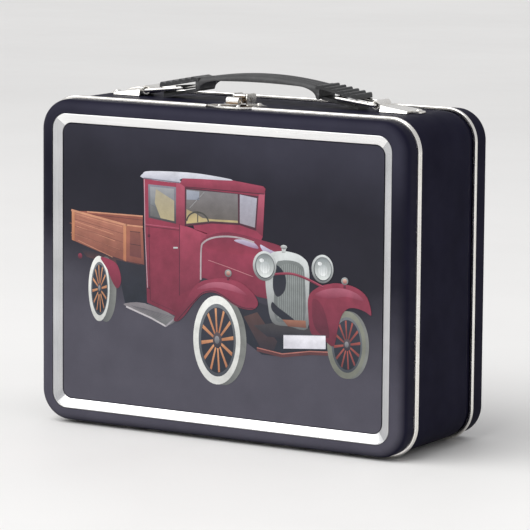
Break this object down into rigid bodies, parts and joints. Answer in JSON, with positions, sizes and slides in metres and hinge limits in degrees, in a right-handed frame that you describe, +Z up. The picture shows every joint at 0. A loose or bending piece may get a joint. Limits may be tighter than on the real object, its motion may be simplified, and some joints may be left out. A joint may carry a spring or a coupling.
{
  "type": "metal lunch box",
  "caption": "Upright rectangular metal lunch box with a bottom-hinged front lid, lever latch, bevelled front panel and a ribbed carrying handle on two wire loops.",
  "frame": {"origin": "centre of the bounding box's underside, on the plane that the box stands on", "axes": "+Z up, +X along the width to the right as seen from the front, -Y out of the lid's printed front"},
  "size_m": [0.222, 0.085, 0.186],
  "materials": {
    "navy_paint": "satin navy lacquer on sheet steel",
    "printed_panel": "satin printed sheet with a picture of an old pickup truck",
    "bare_frame": "fine brushed bright metal",
    "nickel": "bright nickel-plated sheet steel",
    "handle_plastic": "moulded charcoal plastic, finely grained"
  },
  "bodies": {
    "case": {"body_band": "navy_paint", "back_cover": "navy_paint", "rear_seam_rim": "nickel", "latch_base": "nickel", "latch_pin": "nickel", "case_rim_left": "nickel", "case_rim_right": "nickel", "latch_rivet_left": "nickel", "latch_rivet_right": "nickel", "handle_bracket_left": "nickel", "handle_bracket_right": "nickel", "bracket_rivet_left": "nickel", "bracket_rivet_right": "nickel", "hinge_case_leaf_left": "nickel", "hinge_case_leaf_right": "nickel", "hinge_pin_left": "nickel", "hinge_pin_right": "nickel"},
    "lid": {"lid_shell": "navy_paint", "lid_bevel_frame": "bare_frame", "lid_panel": "printed_panel", "lid_rim_bottom": "nickel", "catch_plate": "nickel", "lid_rim_left": "nickel", "lid_rim_right": "nickel", "catch_rivet_left": "nickel", "catch_rivet_right": "nickel", "hinge_lid_leaf_left": "nickel", "hinge_lid_leaf_right": "nickel"},
    "latch": {"latch_lever": "nickel"},
    "handle": {"handle_grip": "handle_plastic"},
    "loop_left": {"handle_loop_left": "nickel"},
    "loop_right": {"handle_loop_right": "nickel"}
  },
  "joints": [
    {"name": "lid_hinge", "type": "hinge", "parent": "case", "child": "lid", "pos_m": [0, -0.0305, 0.0013], "axis": [1, 0, 0], "range_deg": [0, 95]},
    {"name": "latch_pivot", "type": "hinge", "parent": "case", "child": "latch", "pos_m": [0, -0.0173, 0.1744], "axis": [-1, 0, 0], "range_deg": [0, 100]},
    {"name": "handle_lift", "type": "slide", "parent": "case", "child": "handle", "axis": [0, 0, 1], "range_m": [0, 0.018]},
    {"name": "loop_left_swing", "type": "hinge", "parent": "case", "child": "loop_left", "pos_m": [-0.0692, 0.0035, 0.1742], "axis": [0, -1, 0], "range_deg": [0, 47.6]},
    {"name": "loop_right_swing", "type": "hinge", "parent": "case", "child": "loop_right", "pos_m": [0.0692, 0.0035, 0.1742], "axis": [0, 1, 0], "range_deg": [0, 47.6]}
  ],
  "couplings": [
    {"joint": "loop_left_swing", "follows": "handle_lift", "rad_per_m": 46.13},
    {"joint": "loop_right_swing", "follows": "handle_lift", "rad_per_m": 46.13}
  ]
}
